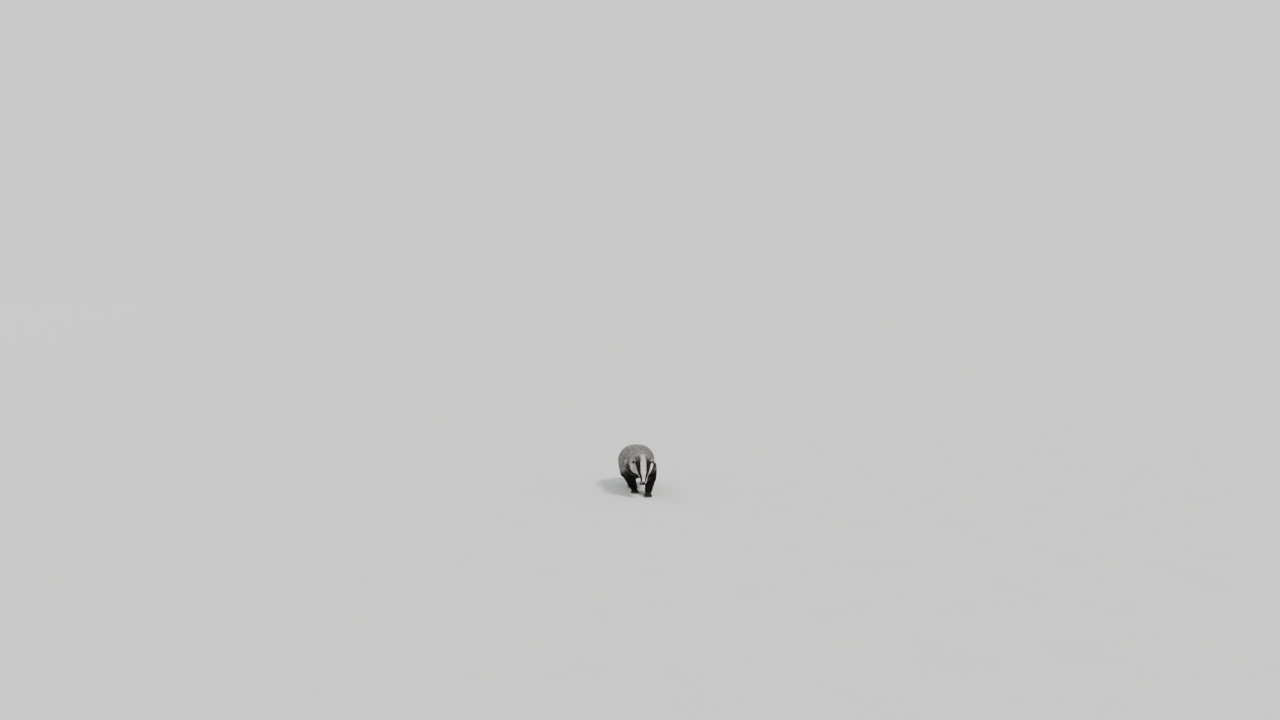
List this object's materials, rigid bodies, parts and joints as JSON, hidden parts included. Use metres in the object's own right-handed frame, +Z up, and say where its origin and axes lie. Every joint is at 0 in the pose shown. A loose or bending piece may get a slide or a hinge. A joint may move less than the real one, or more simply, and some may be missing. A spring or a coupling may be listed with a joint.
{
  "type": "european badger",
  "caption": "European badger at life size, walking with its head low: stout grizzled body, black and white striped face, short black legs with digging claws, short pale tail.",
  "frame": {"origin": "middle of the bounding box, on the floor under the soles", "axes": "+Z up; the nose points toward -Y and the tail toward +Y; the animal's own left is +X"},
  "size_m": [0.2662, 0.7552, 0.3124],
  "materials": {
    "grizzled_fur": "coarse grizzled fur, matt",
    "white_fur": "short white fur, matt",
    "black_fur": "short black fur, matt",
    "pale_fur": "long pale fur, matt",
    "eye_gloss": "wet dark brown eye",
    "nose_skin": "moist black nose skin",
    "claw_horn": "worn brown horn"
  },
  "bodies": {
    "root": {"barrel": "grizzled_fur", "chest": "grizzled_fur", "neck": "grizzled_fur", "rump": "grizzled_fur", "shoulder_left": "grizzled_fur", "shoulder_right": "grizzled_fur", "thigh_left": "grizzled_fur", "thigh_right": "grizzled_fur", "head": "white_fur", "muzzle": "white_fur", "lower_jaw": "white_fur", "ear_left": "black_fur", "ear_right": "black_fur", "forearm_left": "black_fur", "forearm_right": "black_fur", "forepaw_left": "black_fur", "forepaw_right": "black_fur", "shank_left": "black_fur", "shank_right": "black_fur", "hindpaw_left": "black_fur", "hindpaw_right": "black_fur", "tail": "pale_fur", "eye_left": "eye_gloss", "eye_right": "eye_gloss", "nose": "nose_skin", "claw_fore_left_1": "claw_horn", "claw_fore_left_2": "claw_horn", "claw_fore_left_3": "claw_horn", "claw_fore_left_4": "claw_horn", "claw_fore_left_5": "claw_horn", "claw_fore_right_1": "claw_horn", "claw_fore_right_2": "claw_horn", "claw_fore_right_3": "claw_horn", "claw_fore_right_4": "claw_horn", "claw_fore_right_5": "claw_horn", "claw_hind_left_1": "claw_horn", "claw_hind_left_2": "claw_horn", "claw_hind_left_3": "claw_horn", "claw_hind_left_4": "claw_horn", "claw_hind_left_5": "claw_horn", "claw_hind_right_1": "claw_horn", "claw_hind_right_2": "claw_horn", "claw_hind_right_3": "claw_horn", "claw_hind_right_4": "claw_horn", "claw_hind_right_5": "claw_horn"}
  },
  "joints": []
}
